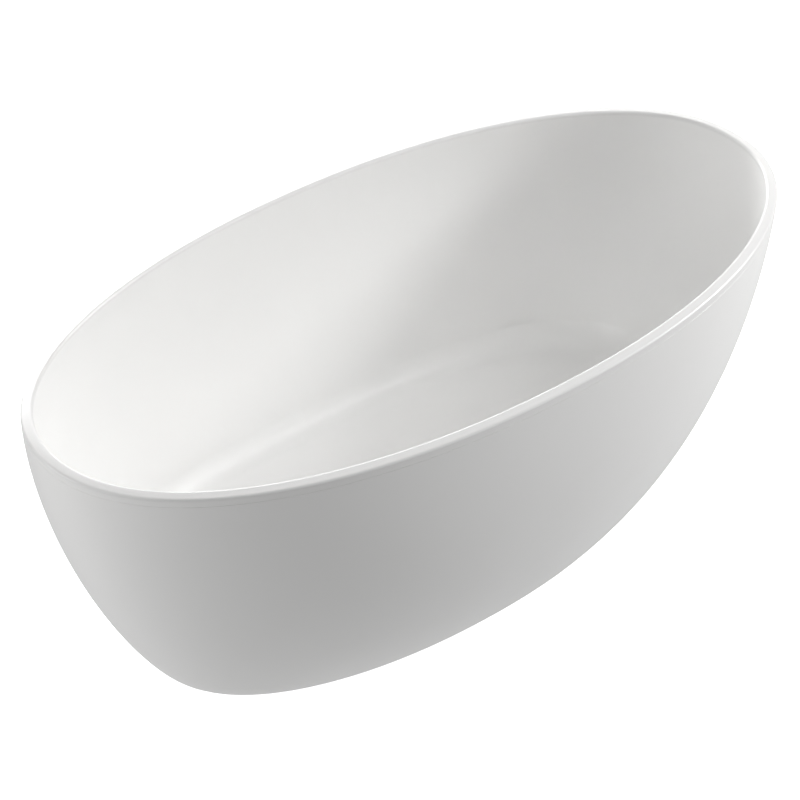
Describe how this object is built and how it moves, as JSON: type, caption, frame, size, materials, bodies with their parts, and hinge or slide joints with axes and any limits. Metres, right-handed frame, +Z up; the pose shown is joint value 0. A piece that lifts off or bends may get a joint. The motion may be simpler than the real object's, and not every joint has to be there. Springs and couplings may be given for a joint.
{
  "type": "freestanding bathtub",
  "caption": "Double-ended oval freestanding bath with a thin rounded rim, outer skirt, steel frame on screw feet, click waste and bottle trap.",
  "frame": {"origin": "middle of the footprint, on the ground", "axes": "+X along the tub's length towards the trap's outlet, +Y across it, +Z up"},
  "size_m": [1.5, 0.72, 0.58],
  "materials": {
    "acrylic": "glossy white sanitary acrylic",
    "board": "raw particle board under a thin resin coat",
    "steel": "galvanised steel tube",
    "zinc": "bright zinc plated fasteners",
    "pad": "black moulded nylon",
    "chrome": "polished chrome",
    "rubber": "black rubber",
    "plastic": "white moulded polypropylene"
  },
  "bodies": {
    "tub": {"basin": "acrylic", "skirt": "acrylic", "floor_board": "board", "rail_front": "steel", "rail_back": "steel", "cross_rail_left": "steel", "cross_rail_right": "steel", "cartridge_spring": "steel", "board_screw_1": "zinc", "board_screw_2": "zinc", "board_screw_3": "zinc", "board_screw_4": "zinc", "board_screw_5": "zinc", "board_screw_6": "zinc", "frame_bolt_1": "zinc", "frame_bolt_2": "zinc", "frame_bolt_3": "zinc", "frame_bolt_4": "zinc", "frame_nut_1": "zinc", "frame_nut_2": "zinc", "frame_nut_3": "zinc", "frame_nut_4": "zinc", "weld_nut_1": "zinc", "weld_nut_2": "zinc", "weld_nut_3": "zinc", "weld_nut_4": "zinc", "lock_nut_1": "zinc", "lock_nut_2": "zinc", "lock_nut_3": "zinc", "lock_nut_4": "zinc", "waste_flange": "chrome", "cartridge_body": "chrome", "flange_gasket": "rubber", "base_gasket": "rubber", "trap_seal": "rubber", "outlet_seal": "rubber", "back_nut": "plastic", "coupling_nut": "plastic", "trap_body": "plastic", "outlet_nut": "plastic"},
    "plug": {"plug_cap": "chrome", "plug_seal": "rubber", "plunger": "chrome"},
    "foot_1": {"foot_pad_1": "pad"},
    "stud_1": {"foot_stud_1": "zinc"},
    "foot_2": {"foot_pad_2": "pad"},
    "stud_2": {"foot_stud_2": "zinc"},
    "foot_3": {"foot_pad_3": "pad"},
    "stud_3": {"foot_stud_3": "zinc"},
    "foot_4": {"foot_pad_4": "pad"},
    "stud_4": {"foot_stud_4": "zinc"}
  },
  "joints": [
    {"name": "plug_lift", "type": "slide", "parent": "tub", "child": "plug", "axis": [0, 0, 1], "range_m": [0, 0.009], "deforming": ["cartridge_spring"]},
    {"name": "foot_travel_1", "type": "slide", "parent": "tub", "child": "foot_1", "axis": [0, 0, 1], "range_m": [-0.014, 0.007]},
    {"name": "foot_turn_1", "type": "hinge", "parent": "foot_1", "child": "stud_1", "pos_m": [-0.33, -0.1148, 0.02], "axis": [0, 0, 1], "range_deg": [-2880, 1440]},
    {"name": "foot_travel_2", "type": "slide", "parent": "tub", "child": "foot_2", "axis": [0, 0, 1], "range_m": [-0.014, 0.007]},
    {"name": "foot_turn_2", "type": "hinge", "parent": "foot_2", "child": "stud_2", "pos_m": [0.33, -0.1148, 0.02], "axis": [0, 0, 1], "range_deg": [-2880, 1440]},
    {"name": "foot_travel_3", "type": "slide", "parent": "tub", "child": "foot_3", "axis": [0, 0, 1], "range_m": [-0.014, 0.007]},
    {"name": "foot_turn_3", "type": "hinge", "parent": "foot_3", "child": "stud_3", "pos_m": [-0.33, 0.1148, 0.02], "axis": [0, 0, 1], "range_deg": [-2880, 1440]},
    {"name": "foot_travel_4", "type": "slide", "parent": "tub", "child": "foot_4", "axis": [0, 0, 1], "range_m": [-0.014, 0.007]},
    {"name": "foot_turn_4", "type": "hinge", "parent": "foot_4", "child": "stud_4", "pos_m": [0.33, 0.1148, 0.02], "axis": [0, 0, 1], "range_deg": [-2880, 1440]}
  ],
  "couplings": [
    {"joint": "foot_turn_1", "follows": "foot_travel_1", "rad_per_m": 3590.4},
    {"joint": "foot_turn_2", "follows": "foot_travel_2", "rad_per_m": 3590.4},
    {"joint": "foot_turn_3", "follows": "foot_travel_3", "rad_per_m": 3590.4},
    {"joint": "foot_turn_4", "follows": "foot_travel_4", "rad_per_m": 3590.4}
  ]
}
